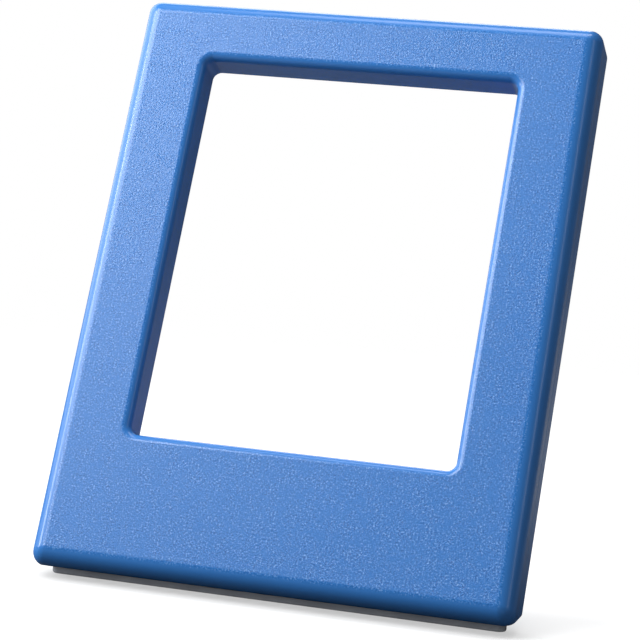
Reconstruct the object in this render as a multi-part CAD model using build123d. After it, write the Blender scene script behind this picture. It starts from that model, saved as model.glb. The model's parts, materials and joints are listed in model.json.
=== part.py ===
from build123d import *
import os
from math import cos, radians, sin, tan

# Magnetic photo frame in the shape of an instant print, leaning back on a desk.
# Every piece is drawn upright: X to the right, Y from the face to the back, Z up, with the
# face in the plane Y = 0 and the bottom of the outline at Z = 0. The last step tips the
# pieces back by the lean angle and sets the origin on the floor under the middle.

# Outline that both halves share
frame_width = 88.0
frame_height = 111.5
outline_corner_radius = 2.4
side_border = 14.0
top_border = 12.0
bottom_border = 25.4
window_corner_radius = 1.6
front_depth = 5.8
rear_depth = 4.3
lean_angle = 24.0

# Front half: a thin shell with a collar that lines the window
face_fillet = 3.2
window_fillet = 1.6
front_wall = 2.0
front_side_wall = 1.8
front_bottom_wall = 3.0
inner_corner_radius = 1.0
collar_wall = 1.6
collar_lip = 1.3
collar_fillet = 0.7
front_rib_thickness = 1.0
front_rib_setback = 0.8

# Rear half: a tray with a pocket for the print
back_fillet = 0.8
back_wall = 1.3
rear_side_wall = 1.8
rear_bottom_wall = 5.0
print_margin = 2.4
print_clearance = 0.4
print_space = 0.4
print_ledge = 2.4
pocket_wall = 1.4
rear_rib_thickness = 1.0
rear_rib_setback = 0.8

# Corner magnets that pull the halves together and hold the frame on steel
magnet_diameter = 6.0
magnet_edge_chamfer = 0.25
front_magnet_thickness = 2.0
rear_magnet_thickness = 3.0
magnet_clearance = 0.05
magnet_setback = 0.2
magnet_cup_wall = 1.1
magnet_edge_distance = 4.7
lower_magnet_height = 9.0

# Pegs of the rear half that line the halves up
peg_diameter = 2.4
peg_height = 2.0
peg_clearance = 0.15
peg_end_chamfer = 0.4
peg_socket_wall = 0.9

# Land along the bottom at the lean angle, with a rubber strip let into it
land_start = 3.1
foot_corner_radius = 1.0
strip_stand_off = 2.1
strip_inset = 0.6
strip_width = 3.0
strip_end_distance = 2.2
strip_setback = 0.9
strip_clearance = 0.05

# Wing that swings out behind the bottom border and props the frame
wing_reach = 30.0
wing_thickness = 2.2
wing_top_height = 19.4
wing_root_height = 6.2
wing_tip_radius = 1.6
wing_gap = 0.3
wing_face_setback = 0.1
recess_corner_radius = 0.8
recess_surround = 1.6
nail_notch_radius = 5.0
pin_diameter = 1.0
pin_clearance = 0.05
pin_upper_engagement = 1.6
pin_lower_engagement = 2.2
pad_length = 9.0
pad_width = 1.9
pad_tip_distance = 2.0
pad_thickness = 1.2

# How far every cut runs past the face that it opens
cut_overrun = 1.0

# Largest part of the wing's height at its tip that one rounding may take
tip_rounding_share = 0.42

# Where the ribs stand, as shares of the window's height and width from its middle
rib_height_shares = (-0.32, -0.14, 0.14, 0.32)
rib_width_shares = (-0.3, 0.0, 0.3)

frame_depth = front_depth + rear_depth
window_width = frame_width - 2 * side_border
window_height = frame_height - top_border - bottom_border
window_middle = bottom_border + window_height / 2
pocket_growth = collar_wall + print_margin + print_clearance
pocket_depth = collar_lip + print_space
opening_growth = pocket_growth - print_ledge
lean = radians(lean_angle)
land_rise = tan(lean)
hinge_y = frame_depth - wing_face_setback - wing_thickness / 2
pin_radius = pin_diameter / 2
wing_drop = strip_stand_off - pad_thickness
recess_depth = wing_face_setback + wing_thickness + wing_gap
recess_low = wing_root_height - wing_gap
recess_high = wing_top_height + wing_gap
recess_left = -wing_thickness / 2 - wing_gap
recess_right = wing_reach + wing_gap

# Where the land starts, seen along it: local Y points at the floor and local Z runs back
land_end = Plane(origin=(0, land_start, 0), x_dir=(1, 0, 0), z_dir=(0, cos(lean), sin(lean)))

# Plane of the land: local Y runs forward along the land and local Z points at the floor
land_plane = Plane(origin=(0, land_start, 0), x_dir=(1, 0, 0), z_dir=(0, sin(lean), -cos(lean)))


def slab(outline, start, depth):
    """A flat body that begins at a distance behind the face and runs towards the back."""
    return extrude(Plane.XZ.offset(-start) * outline, amount=-depth)


def frame_outline(inset=0.0, bottom=0.0, radius=outline_corner_radius):
    """The outline of the frame, drawn in all round and raised further at the bottom."""
    low = max(inset, bottom)
    height = frame_height - inset - low
    return Pos(0, low + height / 2) * RectangleRounded(frame_width - 2 * inset, height, radius)


def window_outline(growth=0.0):
    """The outline of the window, grown by an equal margin all round."""
    width = window_width + 2 * growth
    height = window_height + 2 * growth
    return Pos(0, window_middle) * RectangleRounded(width, height, window_corner_radius)


def magnet_places():
    """Middle of each corner magnet, right and up, under the name of its corner."""
    across = frame_width / 2 - magnet_edge_distance
    upper = frame_height - magnet_edge_distance
    return {
        "top_left": Pos(-across, upper),
        "top_right": Pos(across, upper),
        "bottom_left": Pos(-across, lower_magnet_height),
        "bottom_right": Pos(across, lower_magnet_height),
    }


def peg_places():
    """Middle of the peg in each side border, level with the middle of the window."""
    across = frame_width / 2 - magnet_edge_distance
    return [Pos(-across, window_middle), Pos(across, window_middle)]


def rib_outlines(thickness, inner_growth):
    """Ribs across the side and top borders, from the outer wall to the window's wall."""
    side_run = side_border - inner_growth
    top_run = top_border - inner_growth
    outlines = []
    for share in rib_height_shares:
        height = window_middle + share * window_height
        for side in (-1, 1):
            across = side * (frame_width - side_run) / 2
            outlines.append(Pos(across, height) * Rectangle(side_run, thickness))
    for share in rib_width_shares:
        across = share * window_width
        outlines.append(Pos(across, frame_height - top_run / 2) * Rectangle(thickness, top_run))
    return outlines


def land_cut():
    """What is planed off the bottom, so that the frame stands at its lean on rounded corners."""
    run = (frame_depth - land_start) / cos(lean) + cut_overrun
    width = frame_width + 2 * cut_overrun
    outline = Pos(0, -foot_corner_radius / 2) * Rectangle(width, foot_corner_radius)
    outline += Pos(0, run / 2) * Rectangle(width, run)
    outline -= Pos(0, -bottom_border / 2) * RectangleRounded(frame_width, bottom_border, foot_corner_radius)
    return extrude(land_end * outline, amount=run)


def front_shell():
    """Front half: the rounded face, its side walls and the collar round the window."""
    shell = slab(frame_outline() - window_outline(), 0, front_depth)
    shell = fillet(shell.faces().sort_by(Axis.Y)[0].outer_wire().edges(), face_fillet)
    shell = fillet(shell.faces().sort_by(Axis.Y)[0].inner_wires().edges(), window_fillet)
    inside = frame_outline(front_side_wall, front_bottom_wall, inner_corner_radius)
    shell -= slab(inside - window_outline(collar_wall), front_wall, front_depth)
    collar = slab(window_outline(collar_wall) - window_outline(), front_depth, collar_lip)
    shell += fillet(collar.faces().sort_by(Axis.Y)[-1].inner_wires().edges(), collar_fillet)
    rib_depth = front_depth - front_rib_setback - front_wall
    for outline in rib_outlines(front_rib_thickness, collar_wall):
        shell += slab(outline, front_wall, rib_depth) - front_margin()
    shell += front_bosses()
    return shell - front_holes() - land_cut()


def front_margin():
    """The outer half of the side wall, which no rib may reach."""
    around = frame_outline(-cut_overrun) - frame_outline(front_side_wall / 2)
    return slab(around, 0, frame_depth)


def front_bosses():
    """Cups for the magnets and sockets for the pegs, standing on the face's inner side."""
    cup = Circle(magnet_diameter / 2 + magnet_cup_wall)
    socket = Circle(peg_diameter / 2 + peg_clearance + peg_socket_wall)
    depth = front_depth - front_wall
    bosses = [slab(place * cup, front_wall, depth) for place in magnet_places().values()]
    bosses += [slab(place * socket, front_wall, depth) for place in peg_places()]
    return bosses


def front_holes():
    """The pockets in the cups and the blind holes in the sockets."""
    pocket = Circle(magnet_diameter / 2 + magnet_clearance)
    hole = Circle(peg_diameter / 2 + peg_clearance)
    pocket_start = front_depth - magnet_setback - front_magnet_thickness
    hole_start = front_depth - peg_height - peg_clearance
    holes = [slab(place * pocket, pocket_start, front_depth) for place in magnet_places().values()]
    holes += [slab(place * hole, hole_start, front_depth) for place in peg_places()]
    return holes


def rear_frame():
    """Rear half: the tray that holds the print, the magnets and the folding wing."""
    frame = slab(frame_outline() - window_outline(opening_growth), front_depth, rear_depth)
    frame = fillet(frame.faces().sort_by(Axis.Y)[-1].outer_wire().edges(), back_fillet)
    frame -= slab(window_outline(pocket_growth), front_depth - cut_overrun, cut_overrun + pocket_depth)
    inside = frame_outline(rear_side_wall, rear_bottom_wall, inner_corner_radius)
    cavity = inside - window_outline(pocket_growth + pocket_wall) - recess_block()
    frame -= slab(cavity, front_depth - cut_overrun, cut_overrun + rear_depth - back_wall)
    rib_start = front_depth + rear_rib_setback
    for outline in rib_outlines(rear_rib_thickness, pocket_growth):
        frame += slab(outline, rib_start, frame_depth - back_wall - rib_start) - front_margin()
    frame += rear_bosses()
    frame -= rear_pockets()
    frame -= wing_recess()
    frame -= pin_hole()
    return frame - land_cut() - strip_body(strip_clearance)


def recess_block():
    """The part of the bottom border that stays solid round the wing's recess."""
    left = recess_left - recess_surround
    right = recess_right + nail_notch_radius + recess_surround
    return Pos((left + right) / 2, bottom_border / 2) * Rectangle(right - left, bottom_border)


def rear_bosses():
    """Cups for the magnets, and the pegs with the posts that carry them."""
    cup = Circle(magnet_diameter / 2 + magnet_cup_wall)
    post = Circle(peg_diameter / 2 + peg_socket_wall)
    depth = rear_depth - back_fillet
    bosses = [slab(place * cup, front_depth, depth) for place in magnet_places().values()]
    for place in peg_places():
        peg = slab(place * Circle(peg_diameter / 2), front_depth - peg_height, peg_height + depth)
        peg = chamfer(peg.faces().sort_by(Axis.Y)[0].edges(), peg_end_chamfer)
        bosses += [slab(place * post, front_depth, depth), peg]
    return bosses


def rear_pockets():
    """The pockets in the cups, deep enough to leave a thin skin at the back."""
    pocket = Circle(magnet_diameter / 2 + magnet_clearance)
    depth = cut_overrun + magnet_setback + rear_magnet_thickness
    start = front_depth - cut_overrun
    return [slab(place * pocket, start, depth) for place in magnet_places().values()]


def wing_recess():
    """The shallow bay in the back that the wing folds into, with a notch for a nail."""
    width = recess_right - recess_left
    height = recess_high - recess_low
    middle = Pos((recess_left + recess_right) / 2, (recess_low + recess_high) / 2)
    bay = middle * RectangleRounded(width, height, recess_corner_radius)
    notch = Pos(recess_right, recess_high - nail_notch_radius) * Circle(nail_notch_radius)
    return slab(bay + notch, frame_depth - recess_depth, recess_depth + cut_overrun)


def upright_rod(radius, low, high):
    """A round rod along the wing's hinge line."""
    return extrude(Plane.XY.offset(low) * Pos(0, hinge_y) * Circle(radius), amount=high - low)


def pin_hole():
    """Bore of the hinge pin, open at the land so that the pin goes in from below."""
    return upright_rod(pin_radius + pin_clearance, 0, recess_high + pin_upper_engagement)


def hinge_pin():
    """Steel pin through the wing, held in the walls above and below its recess."""
    pin = upright_rod(pin_radius, recess_low - pin_lower_engagement, recess_high + pin_upper_engagement)
    return chamfer(pin.edges().filter_by(GeomType.CIRCLE), pin_clearance * 2)


def strip_body(growth=0.0):
    """Rubber strip with round ends, let into the land and standing proud of it."""
    setback = (front_depth - land_start) / cos(lean) + strip_setback
    length = frame_width - 2 * strip_end_distance + 2 * growth
    outline = Pos(0, -setback - strip_width / 2) * SlotOverall(length, strip_width + 2 * growth)
    return extrude(land_plane.offset(-strip_inset) * outline, amount=strip_inset + strip_stand_off)


def stand_wing():
    """The wing as it stands open: a tapered plate whose lower edge runs along the floor."""
    tip = hinge_y + wing_reach
    edge_drop = wing_drop / cos(lean)
    tip_low = (tip - land_start) * land_rise - edge_drop
    outline = make_face(
        Polyline(
            (hinge_y, wing_root_height),
            (land_start + (wing_root_height + edge_drop) / land_rise, wing_root_height),
            (tip, tip_low),
            (tip, wing_top_height),
            (hinge_y, wing_top_height),
            close=True,
        )
    )
    wing = extrude(Plane.YZ * outline, amount=wing_thickness / 2, both=True)
    tip_edges = wing.edges().filter_by(Axis.X).group_by(Axis.Y)[-1]
    wing = fillet(tip_edges, min(wing_tip_radius, tip_rounding_share * (wing_top_height - tip_low)))
    wing += upright_rod(wing_thickness / 2, wing_root_height, wing_top_height)
    return wing - upright_rod(pin_radius + pin_clearance, 0, frame_height)


def wing_pad():
    """Rubber pad between the wing's lower edge and the floor."""
    tip_run = (hinge_y + wing_reach - land_start) / cos(lean)
    middle = tip_run - pad_tip_distance - pad_length / 2
    outline = Pos(0, -middle) * Rot(0, 0, 90) * SlotOverall(pad_length, pad_width)
    return extrude(land_plane.offset(wing_drop) * outline, amount=pad_thickness)


def disc_magnet(place, start, thickness):
    """A disc magnet in its cup, with broken edges."""
    disc = slab(place * Circle(magnet_diameter / 2), start, thickness)
    return chamfer(disc.edges().filter_by(GeomType.CIRCLE), magnet_edge_chamfer)


def pieces():
    """Every piece of the frame, upright, under the name of its node."""
    made = {
        "front_shell": front_shell(),
        "rear_frame": rear_frame(),
        "base_strip": strip_body(),
        "hinge_pin": hinge_pin(),
        "stand_wing": stand_wing(),
        "wing_pad": wing_pad(),
    }
    front_start = front_depth - magnet_setback - front_magnet_thickness
    rear_start = front_depth + magnet_setback
    for corner, place in magnet_places().items():
        made["front_magnet_" + corner] = disc_magnet(place, front_start, front_magnet_thickness)
        made["rear_magnet_" + corner] = disc_magnet(place, rear_start, rear_magnet_thickness)
    return made


def standing():
    """Where the upright frame goes: tipped back, on the floor, and centred front to back."""
    front_most = face_fillet * (cos(lean) + sin(lean) - 1)
    top_back = (frame_depth - back_fillet) * cos(lean) + (frame_height - back_fillet) * sin(lean)
    back_most = top_back + back_fillet
    lift = land_start * sin(lean) + strip_stand_off
    return Pos(0, -(front_most + back_most) / 2, lift) * Rot(-lean_angle, 0, 0)


os.makedirs("parts", exist_ok=True)
for name, piece in pieces().items():
    export_step(standing() * piece, "parts/" + name + ".step")
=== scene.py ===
import json
import math

import bpy
from mathutils import Matrix, Vector


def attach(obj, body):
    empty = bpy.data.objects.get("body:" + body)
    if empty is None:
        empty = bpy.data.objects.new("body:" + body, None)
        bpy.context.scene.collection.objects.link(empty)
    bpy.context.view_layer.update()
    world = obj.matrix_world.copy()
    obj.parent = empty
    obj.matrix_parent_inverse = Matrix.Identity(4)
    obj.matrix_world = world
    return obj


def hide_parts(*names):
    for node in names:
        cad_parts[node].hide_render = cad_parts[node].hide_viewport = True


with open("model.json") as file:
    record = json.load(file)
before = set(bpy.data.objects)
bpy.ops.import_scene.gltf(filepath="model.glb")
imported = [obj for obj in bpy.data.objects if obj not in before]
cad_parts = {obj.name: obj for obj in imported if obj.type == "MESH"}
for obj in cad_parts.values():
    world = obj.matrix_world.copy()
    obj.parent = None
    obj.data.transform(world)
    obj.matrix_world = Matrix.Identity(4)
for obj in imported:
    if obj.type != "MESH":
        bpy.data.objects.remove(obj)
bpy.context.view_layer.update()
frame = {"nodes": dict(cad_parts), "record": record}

# The drawing of the upright frame, X right, Y from the face to the back, Z up, in mm, and how it stands
stand = {
    "leanDegrees": 24.0,
    "depth": 10.1,
    "mountHeight": 105.5,     # middle of the top border, where the record puts the back's mount
}

mm = 0.001
lean = math.radians(stand["leanDegrees"])
leanTurn = Matrix.Rotation(-lean, 3, "X")
mountPlace = Vector(frame["record"]["mounts"][0]["pos_m"])
standPlace = mountPlace - leanTurn @ Vector((0, stand["depth"], stand["mountHeight"])) * mm


def standing(x, y, z):
    return leanTurn @ Vector((x, y, z)) * mm + standPlace


# Steps that several pieces share

def clearSelection():
    if bpy.context.object and bpy.context.object.mode != "OBJECT":
        bpy.ops.object.mode_set(mode="OBJECT")
    bpy.ops.object.select_all(action="DESELECT")


def pick(piece):
    clearSelection()
    piece.select_set(True)
    bpy.context.view_layer.objects.active = piece


sameWithin = 0.001    # mm, points closer than this are one


def mergeDoubles():
    bpy.ops.object.mode_set(mode="EDIT")
    bpy.ops.mesh.select_all(action="SELECT")
    bpy.ops.mesh.remove_doubles(threshold=sameWithin * mm)


def mergedCopy(nodeName, pieceName, flatWithin=0.4):
    # the loose triangles become one closed mesh with large flat faces
    node = frame["nodes"][nodeName]
    piece = bpy.data.objects.new(pieceName, node.data.copy())
    bpy.context.scene.collection.objects.link(piece)
    pick(piece)
    bpy.ops.mesh.customdata_custom_splitnormals_clear()
    mergeDoubles()
    bpy.ops.mesh.dissolve_limited(angle_limit=math.radians(flatWithin))
    bpy.ops.mesh.normals_make_consistent(inside=False)
    bpy.ops.object.mode_set(mode="OBJECT")
    return piece


def breakEdges(piece, width, sharperThan=40, segments=2):
    pick(piece)
    bevel = piece.modifiers.new("brokenEdges", "BEVEL")
    bevel.width = width * mm
    bevel.segments = segments
    bevel.limit_method = "ANGLE"
    bevel.angle_limit = math.radians(sharperThan)
    bevel.use_clamp_overlap = False   # a clamp shrinks all edges to what the shortest allows
    bpy.ops.object.modifier_apply(modifier=bevel.name)
    mergeDoubles()
    bpy.ops.object.mode_set(mode="OBJECT")


def smoothOver(piece, upTo=35):
    pick(piece)
    bpy.ops.object.shade_smooth_by_angle(angle=math.radians(upTo), keep_sharp_edges=True)
    weighted = piece.modifiers.new("evenShading", "WEIGHTED_NORMAL")
    weighted.keep_sharp = True
    bpy.ops.object.modifier_apply(modifier=weighted.name)


bodyOf = {}
for body, members in frame["record"]["behaviour"]["bodies"].items():
    for member in members:
        bodyOf[member] = body


def putInPlace(piece, nodeName, material):
    piece.data.materials.clear()
    piece.data.materials.append(material)
    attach(piece, bodyOf[nodeName])
    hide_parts(nodeName)
    print(piece.name, len(piece.data.polygons), "faces")


def dress(nodeName, pieceName, material, edgeWidth=0, segments=2):
    piece = mergedCopy(nodeName, pieceName)
    if edgeWidth:
        breakEdges(piece, edgeWidth, segments=segments)
    smoothOver(piece)
    putInPlace(piece, nodeName, material)


# Nodes that several finishes share

noiseCentre = 0.5            # a noise's values lie round this
noiseMiddle = (0.35, 0.65)   # most of them lie between these
noiseSpan = (0.30, 0.70)     # and nearly all between these


def newMaterial(name):
    material = bpy.data.materials.new(name)
    material.use_nodes = True
    nodes = material.node_tree.nodes
    nodes.clear()
    output = nodes.new("ShaderNodeOutputMaterial")
    shader = nodes.new("ShaderNodeBsdfPrincipled")
    material.node_tree.links.new(shader.outputs["BSDF"], output.inputs["Surface"])
    return material, nodes, material.node_tree.links, shader


def drawingPlace(nodes, links):
    # each point in mm of the upright drawing
    coordinates = nodes.new("ShaderNodeTexCoord")
    mapping = nodes.new("ShaderNodeMapping")
    mapping.vector_type = "TEXTURE"
    mapping.inputs["Location"].default_value = standPlace
    mapping.inputs["Rotation"].default_value = (-lean, 0, 0)
    mapping.inputs["Scale"].default_value = (mm, mm, mm)
    links.new(coordinates.outputs["Object"], mapping.inputs["Vector"])
    return mapping.outputs["Vector"]


def stretched(nodes, links, place, scale):
    mapping = nodes.new("ShaderNodeMapping")
    mapping.inputs["Scale"].default_value = scale
    links.new(place, mapping.inputs["Vector"])
    return mapping.outputs["Vector"]


def grains(nodes, links, place, size, detail=2.0, roughness=0.5):
    # soft random values round noiseCentre, with features of the given size in mm
    texture = nodes.new("ShaderNodeTexNoise")
    texture.inputs["Scale"].default_value = 1 / size
    texture.inputs["Detail"].default_value = detail
    texture.inputs["Roughness"].default_value = roughness
    links.new(place, texture.inputs["Vector"])
    return texture.outputs["Fac"]


def spread(nodes, links, value, start, end, low, high, smooth=False):
    ranged = nodes.new("ShaderNodeMapRange")
    if smooth:
        ranged.interpolation_type = "SMOOTHSTEP"
    ranged.inputs["From Min"].default_value = start
    ranged.inputs["From Max"].default_value = end
    ranged.inputs["To Min"].default_value = low
    ranged.inputs["To Max"].default_value = high
    links.new(value, ranged.inputs["Value"])
    return ranged.outputs["Result"]


def calculated(nodes, links, operation, first, second):
    step = nodes.new("ShaderNodeMath")
    step.operation = operation
    for socket, value in zip(step.inputs, (first, second)):
        if isinstance(value, (int, float)):
            socket.default_value = value
        else:
            links.new(value, socket)
    return step.outputs["Value"]


def blended(nodes, links, share, first, second):
    # the mix node has sockets for each kind of data, and these are the ones for colours
    mix = nodes.new("ShaderNodeMix")
    mix.data_type = "RGBA"
    firstColour, secondColour, result = mix.inputs[6], mix.inputs[7], mix.outputs[2]
    links.new(share, mix.inputs["Factor"])
    for socket, value in zip((firstColour, secondColour), (first, second)):
        if isinstance(value, tuple):
            socket.default_value = (*value, 1)
        else:
            links.new(value, socket)
    return result


def bumped(nodes, links, height, depth, shader):
    bump = nodes.new("ShaderNodeBump")
    bump.inputs["Strength"].default_value = 1
    bump.inputs["Distance"].default_value = depth * mm
    links.new(height, bump.inputs["Height"])
    links.new(bump.outputs["Normal"], shader.inputs["Normal"])


# Moulded blue plastic: flat sides carry a fine spark-eroded grain, roundings and walls are satin. The
# grain's pale specks are painted glints and its dark specks painted shade in its pits

def sideShare(nodes, links, place, look, fade):
    # 1 on the grained side and 0 from a little behind it
    parts = nodes.new("ShaderNodeSeparateXYZ")
    links.new(place, parts.inputs["Vector"])
    depth = calculated(nodes, links, "SUBTRACT", parts.outputs[look["grainAxis"]], look["grainLevel"])
    depth = calculated(nodes, links, "ABSOLUTE", depth, 0)
    return spread(nodes, links, depth, look["grainFrom"], look["grainFrom"] + fade, 1, 0, smooth=True)


def blueWithPaintedGlintAndShade(nodes, links, place, look, cloudy, patchy):
    # painted glints on the grain and painted shade in its pits, on a slowly drifting blue
    strength = sideShare(nodes, links, place, look, look["colourFade"])
    strength = calculated(nodes, links, "MULTIPLY", strength, patchy)
    speckled = grains(nodes, links, place, look["paintedGlintSize"], detail=1)
    body = blended(nodes, links, cloudy, look["darkBlue"], look["blue"])
    # pale specks are painted glints where the grain would catch the light, dark ones painted shade in its
    # pits
    for kind in ("pit", "fleck"):
        start, full = look[kind + "From"], look[kind + "Full"]
        spots = spread(nodes, links, speckled, start, full, 0, look[kind + "Share"])
        spots = calculated(nodes, links, "MULTIPLY", spots, strength)
        body = blended(nodes, links, spots, body, look[kind + "Blue"])
    return body


def grainRelief(nodes, links, place, look, strength):
    # heights as a share of grainDepth
    coarse = grains(nodes, links, place, look["grainSize"], look["grainDetail"], look["grainBreakup"])
    coarse = calculated(nodes, links, "SUBTRACT", coarse, noiseCentre)
    coarse = calculated(nodes, links, "MULTIPLY", coarse, strength)
    fine = grains(nodes, links, place, look["satinSize"], detail=1)
    fine = calculated(nodes, links, "MULTIPLY", fine, look["satinDepth"] / look["grainDepth"])
    return calculated(nodes, links, "ADD", coarse, fine)


def mouldedBlue(name, look):
    material, nodes, links, shader = newMaterial(name)
    place = drawingPlace(nodes, links)
    grained = sideShare(nodes, links, place, look, look["grainFade"])
    cloudy = grains(nodes, links, place, look["cloudSize"])
    patchy = grains(nodes, links, place, look["patchSize"])
    patchy = spread(nodes, links, patchy, *noiseMiddle, look["patchLow"], 1)
    body = blueWithPaintedGlintAndShade(nodes, links, place, look, cloudy, patchy)
    links.new(body, shader.inputs["Base Color"])
    rough = spread(nodes, links, grained, 0, 1, look["satinRoughness"], look["grainRoughness"])
    worn = spread(nodes, links, cloudy, *noiseSpan, -look["roughnessDrift"], look["roughnessDrift"])
    links.new(calculated(nodes, links, "ADD", rough, worn), shader.inputs["Roughness"])
    shader.inputs["Specular IOR Level"].default_value = look["gloss"]
    strength = calculated(nodes, links, "MULTIPLY", grained, patchy)
    bumped(nodes, links, grainRelief(nodes, links, place, look, strength), look["grainDepth"], shader)
    return material


frontLook = {
    "blue": (0.043, 0.222, 0.64),
    "darkBlue": (0.037, 0.200, 0.59),
    "fleckBlue": (0.22, 0.44, 0.84),
    "pitBlue": (0.016, 0.105, 0.37),
    "cloudSize": 26.0,         # mm, slow drift of the colour
    "paintedGlintSize": 0.33,         # mm, size of the painted glints and of the painted shade in pits
    "fleckFrom": 0.56,         # noise value where the painted glints begin, and where they are full
    "fleckFull": 0.68,
    "fleckShare": 0.9,         # how much of their painted highlight they show
    # painted shade in the grain's pits: where it begins, where it is full, how much shows
    "pitFrom": 0.48,
    "pitFull": 0.37,
    "pitShare": 0.72,
    "grainSize": 0.30,         # mm
    "grainDepth": 0.12,
    "grainDetail": 2.5,
    "grainBreakup": 0.6,
    "satinSize": 0.16,         # mm
    "satinDepth": 0.004,
    "grainRoughness": 0.34,
    "satinRoughness": 0.24,
    "roughnessDrift": 0.02,
    "gloss": 0.5,
    "grainAxis": "Y",
    "grainLevel": 0.0,         # mm, the plane that carries the grain
    "grainFrom": 0.002,        # mm behind it, where the grain begins to fade
    "grainFade": 0.014,        # mm over which the grain goes
    "colourFade": 0.16,        # mm over which its painted glints and painted pit shade go
    "patchSize": 2.4,          # mm, patches with more and less grain
    "patchLow": 0.5,           # what is left of the grain where there is least
}

rearLook = dict(frontLook)
rearLook["grainLevel"] = stand["depth"]

wingLook = dict(frontLook)
wingLook["grainAxis"] = "X"
wingLook["grainFrom"] = 1.1    # mm, grained on both sides of the blade

frontBlue = mouldedBlue("front_blue", frontLook)
rearBlue = mouldedBlue("rear_blue", rearLook)
wingBlue = mouldedBlue("wing_blue", wingLook)
print("blue plastic mixed")

# The two halves and the wing

mouldedEdgeWidth = 0.15    # mm, on edges that the mould leaves sharp

dress("front_shell", "front_half_shell", frontBlue, mouldedEdgeWidth)
dress("rear_frame", "rear_half_tray", rearBlue, mouldedEdgeWidth)
dress("stand_wing", "easel_wing", wingBlue, mouldedEdgeWidth)

# Grey rubber foot strip and wing pad. The foot strip's grey band under the bottom edge also stands in for
# the contact shadow there, a painted shade

rubberLook = {
    "grey": (0.26, 0.275, 0.31),
    "paleGrey": (0.32, 0.335, 0.37),
    "dustSize": 6.0,           # mm
    "poreSize": 0.25,
    "poreDepth": 0.03,
    "smoothest": 0.66,         # roughness where it is smoothest and roughest
    "roughest": 0.78,
    "gloss": 0.3,
    "edgeWidth": 0.35,         # mm
    "edgeSegments": 3,
}


def footRubber(name, look):
    material, nodes, links, shader = newMaterial(name)
    place = drawingPlace(nodes, links)
    dusty = grains(nodes, links, place, look["dustSize"], detail=3)
    paler = spread(nodes, links, dusty, *noiseMiddle, 0, 1)
    links.new(blended(nodes, links, paler, look["grey"], look["paleGrey"]), shader.inputs["Base Color"])
    rough = spread(nodes, links, dusty, *noiseSpan, look["smoothest"], look["roughest"])
    links.new(rough, shader.inputs["Roughness"])
    shader.inputs["Specular IOR Level"].default_value = look["gloss"]
    pores = grains(nodes, links, place, look["poreSize"], detail=2)
    bumped(nodes, links, pores, look["poreDepth"], shader)
    return material


rubber = footRubber("foot_rubber", rubberLook)

# the foot strip is partly a grey piece put where the bottom edge shades the floor, a painted contact shadow
dress("base_strip", "foot_strip_and_contact_shade", rubber, rubberLook["edgeWidth"], rubberLook["edgeSegments"])
dress("wing_pad", "wing_foot", rubber, rubberLook["edgeWidth"], rubberLook["edgeSegments"])

# Steel pin and nickel-plated magnets

pinLook = {
    "steel": (0.56, 0.56, 0.55),
    "darkSteel": (0.42, 0.42, 0.42),
    "streaks": (9.0, 9.0, 0.35),   # per mm, drawn out along the pin
    "streakDepth": 0.004,          # mm
    "smoothest": 0.24,
    "roughest": 0.38,
}

magnetLook = {
    "steel": (0.72, 0.70, 0.66),
    "darkSteel": (0.60, 0.58, 0.54),
    "streaks": (0.5, 6.0, 6.0),    # faint barrel polishing marks
    "streakDepth": 0.003,
    "smoothest": 0.16,
    "roughest": 0.30,
    "edgeWidth": 0.06,             # mm
}


def brightMetal(name, look):
    material, nodes, links, shader = newMaterial(name)
    place = stretched(nodes, links, drawingPlace(nodes, links), look["streaks"])
    streaks = grains(nodes, links, place, 1, detail=3, roughness=0.6)
    paler = spread(nodes, links, streaks, *noiseMiddle, 0, 1)
    links.new(blended(nodes, links, paler, look["darkSteel"], look["steel"]), shader.inputs["Base Color"])
    shader.inputs["Metallic"].default_value = 1
    rough = spread(nodes, links, streaks, *noiseSpan, look["smoothest"], look["roughest"])
    links.new(rough, shader.inputs["Roughness"])
    bumped(nodes, links, streaks, look["streakDepth"], shader)
    return material


steel = brightMetal("pin_steel", pinLook)
nickel = brightMetal("magnet_nickel", magnetLook)

dress("hinge_pin", "wing_pin", steel)
for corner in ("top_left", "top_right", "bottom_left", "bottom_right"):
    for half in ("front", "rear"):
        dress(half + "_magnet_" + corner, half + "_disc_" + corner, nickel, magnetLook["edgeWidth"])
print("pieces dressed")

# Floor and room

studio = {
    "floorRadius": 0.9,          # m
    "floorSides": 96,
    "floorFadeFrom": 0.10,       # m, where the floor begins to melt into the backdrop
    "floorFadeTo": 0.40,
    "floorColour": (0.84, 0.85, 0.86, 1),
    "floorRoughness": 0.7,
    "floorGloss": 0.1,
    "floorGlow": 0.55,           # share of the floor that is blown out to white, as seen by the camera
    "floorWhite": 1.41,          # how bright that share is
    "bounceFrom": 0.05,          # m from the middle, where the floor gives back little of its light, painted shade round the object
    "bounceTo": 0.14,
    "nearBounce": 0.09,          # the share that it gives back there
    "farBounce": 0.31,
    "contactReach": 0.018,       # m, how far from the object the floor darkens, a painted contact shadow
    "contactFull": 0.3,          # share of open sky where it is darkest
    "contactShade": 0.66,        # how bright the glow stays there
    "contactSamples": 8,
    "roomLight": 0.12,           # what the room gives to matt surfaces
    "roomSheen": 0.10,           # what the room shows in glossy ones
    "backdrop": 1.0,             # what the camera sees behind it all
}


def whenSeen(nodes, links, ray, elsewhere, seen):
    # one value for the given kind of ray and another for all others
    return spread(nodes, links, nodes.new("ShaderNodeLightPath").outputs[ray], 0, 1, elsewhere, seen)


def mixedShaders(nodes, links, share, first, second):
    mix = nodes.new("ShaderNodeMixShader")
    links.new(share, mix.inputs["Fac"])
    links.new(first, mix.inputs[1])
    links.new(second, mix.inputs[2])
    return mix.outputs["Shader"]


def awayFromMiddle(nodes, links):
    place = nodes.new("ShaderNodeTexCoord")
    distance = nodes.new("ShaderNodeVectorMath")
    distance.operation = "LENGTH"
    links.new(place.outputs["Object"], distance.inputs[0])
    return distance.outputs["Value"]


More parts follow.
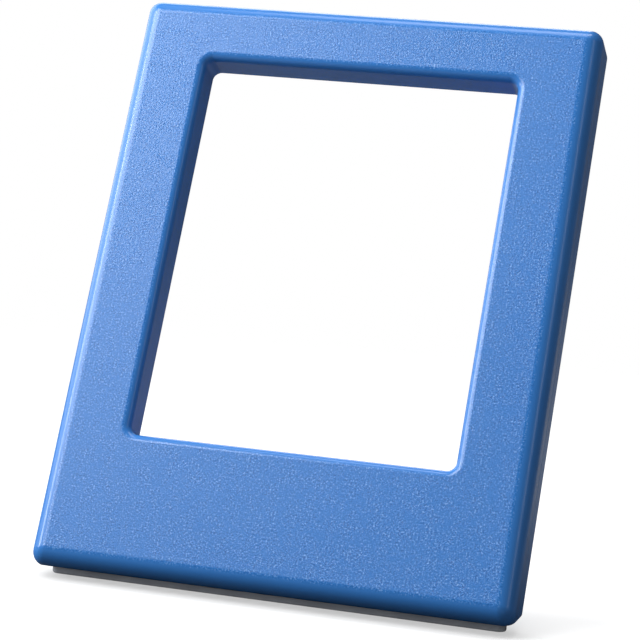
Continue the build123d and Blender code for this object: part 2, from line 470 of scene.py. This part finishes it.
def floorGlow(nodes, links):
    # only the camera sees it, and it is darker close to the object, a painted contact shadow
    near = nodes.new("ShaderNodeAmbientOcclusion")
    near.samples = studio["contactSamples"]
    near.inputs["Distance"].default_value = studio["contactReach"]
    full, darkest = studio["contactFull"], studio["contactShade"]
    shade = spread(nodes, links, near.outputs["AO"], full, 1, darkest, 1, smooth=True)
    white = whenSeen(nodes, links, "Is Camera Ray", 0, studio["floorWhite"])
    glow = nodes.new("ShaderNodeEmission")
    links.new(calculated(nodes, links, "MULTIPLY", white, shade), glow.inputs["Strength"])
    return glow.outputs["Emission"]


def glowShare(nodes, links, distance):
    # to all other rays the glow is black, and takes away from the light that the floor gives back, more so
    # close to the object as painted shade
    near, far = 1 - studio["nearBounce"], 1 - studio["farBounce"]
    dark = spread(nodes, links, distance, studio["bounceFrom"], studio["bounceTo"], near, far)
    dark = calculated(nodes, links, "MULTIPLY", dark, whenSeen(nodes, links, "Is Camera Ray", 1, 0))
    seen = whenSeen(nodes, links, "Is Camera Ray", 0, studio["floorGlow"])
    return calculated(nodes, links, "ADD", dark, seen)


def rimShare(nodes, links, distance):
    # for the camera the rim melts into the backdrop
    faded = spread(nodes, links, distance, studio["floorFadeFrom"], studio["floorFadeTo"], 0, 1, smooth=True)
    return calculated(nodes, links, "MULTIPLY", faded, whenSeen(nodes, links, "Is Camera Ray", 0, 1))


def paleFloor():
    material, nodes, links, shader = newMaterial("pale_floor")
    shader.inputs["Base Color"].default_value = studio["floorColour"]
    shader.inputs["Roughness"].default_value = studio["floorRoughness"]
    shader.inputs["Specular IOR Level"].default_value = studio["floorGloss"]
    distance = awayFromMiddle(nodes, links)
    share = glowShare(nodes, links, distance)
    glowing = mixedShaders(nodes, links, share, shader.outputs["BSDF"], floorGlow(nodes, links))
    clear = nodes.new("ShaderNodeBsdfTransparent").outputs["BSDF"]
    melting = mixedShaders(nodes, links, rimShare(nodes, links, distance), glowing, clear)
    links.new(melting, nodes["Material Output"].inputs["Surface"])
    return material


def layFloor():
    clearSelection()
    sides, radius = studio["floorSides"], studio["floorRadius"]
    bpy.ops.mesh.primitive_circle_add(vertices=sides, radius=radius, fill_type="NGON", location=(0, 0, 0))
    floor = bpy.context.object
    floor.name = "floor"
    floor.data.materials.append(paleFloor())


def lightRoom():
    room = bpy.data.worlds.new("pale_room")
    room.use_nodes = True
    nodes, links = room.node_tree.nodes, room.node_tree.links
    reflected = whenSeen(nodes, links, "Is Glossy Ray", studio["roomLight"], studio["roomSheen"])
    direct = whenSeen(nodes, links, "Is Camera Ray", 0, studio["backdrop"])
    background = nodes["Background"]
    background.inputs["Color"].default_value = (1, 1, 1, 1)
    links.new(calculated(nodes, links, "MAXIMUM", reflected, direct), background.inputs["Strength"])
    bpy.context.scene.world = room
    bpy.context.scene.view_settings.view_transform = "Standard"


# Lamps: where each stands, in m, its size in m and its power in W
lamps = {
    "key_softbox": {"place": (-0.31, -0.23, 0.51), "size": (0.36, 0.24), "power": 2.35},
    "fill_softbox": {"place": (-0.65, -0.51, 0.53), "size": (0.60, 0.26), "power": 3.0},
    "left_softbox": {"place": (-0.75, -0.20, 0.35), "size": (0.06, 0.50), "power": 2.6},
    "left_back_card": {"place": (-0.62, 0.26, 0.32), "size": (0.70, 0.50), "power": 2.2},
    "back_softbox": {"place": (-0.28, 0.85, 0.55), "size": (0.50, 0.40), "power": 1.6},
    "right_strip": {"place": (0.60, -0.17, 0.34), "size": (0.05, 0.45), "power": 0.22},
    "top_softbox": {"place": (0.0, 0.10, 0.85), "size": (0.50, 0.30), "power": 2.2},
}
lampAim = (0, 0, 0.05)

# A white card low in front, which lights the foot strip and nothing else
card = {"place": (0, -0.35, 0.10), "size": (0.50, 0.20), "power": 0.58}
cardAim = (0, -0.02, 0)


def hangLamp(name, lamp, aim):
    light = bpy.data.lights.new(name, "AREA")
    light.shape = "RECTANGLE"
    light.size, light.size_y = lamp["size"]
    light.energy = lamp["power"]
    holder = bpy.data.objects.new(name, light)
    bpy.context.scene.collection.objects.link(holder)
    direction = Vector(aim) - Vector(lamp["place"])
    holder.location = lamp["place"]
    holder.rotation_euler = direction.to_track_quat("-Z", "Y").to_euler()
    return holder


def lightOnly(holder, pieceName):
    receivers = bpy.data.collections.new(holder.name + "_receivers")
    receivers.objects.link(bpy.data.objects[pieceName])
    holder.light_linking.receiver_collection = receivers


layFloor()
lightRoom()
for lampName, lamp in lamps.items():
    hangLamp(lampName, lamp, lampAim)
lightOnly(hangLamp("strip_card", card, cardAim), "foot_strip_and_contact_shade")
print("floor laid and", len(lamps), "lamps and a card hung")

# The camera stands low and to the right, and is rolled by a few degrees
shot = {
    "target": (1.404, 0.0, 50.046),   # mm, on the upright frame's face
    "azimuthDegrees": 15.091,
    "elevationDegrees": 5.932,
    "rollDegrees": 4.166,
    "distance": 427.77,               # mm
    "focalPixels": 2387.8,
    "imagePixels": 640,
    "sensorWidth": 36.0,              # mm
    "nearest": 0.01,                  # m
}


def placeCamera():
    data = bpy.data.cameras.new("camera")
    data.sensor_width = shot["sensorWidth"]
    data.lens = shot["focalPixels"] / shot["imagePixels"] * shot["sensorWidth"]
    data.clip_start = shot["nearest"]
    camera = bpy.data.objects.new("camera", data)
    bpy.context.scene.collection.objects.link(camera)
    azimuth = math.radians(shot["azimuthDegrees"])
    elevation = math.radians(shot["elevationDegrees"])
    roll = math.radians(shot["rollDegrees"])
    towardsCamera = Vector((
        math.sin(azimuth) * math.cos(elevation),
        -math.cos(azimuth) * math.cos(elevation),
        math.sin(elevation),
    ))
    level = (-towardsCamera).cross(Vector((0, 0, 1))).normalized()
    upright = level.cross(-towardsCamera)
    right = math.cos(roll) * level + math.sin(roll) * upright
    up = math.cos(roll) * upright - math.sin(roll) * level
    place = standing(*shot["target"]) + towardsCamera * shot["distance"] * mm
    turn = Matrix((right, up, towardsCamera)).transposed().to_4x4()
    camera.matrix_world = Matrix.Translation(place) @ turn
    bpy.context.scene.camera = camera


placeCamera()
print("camera placed")
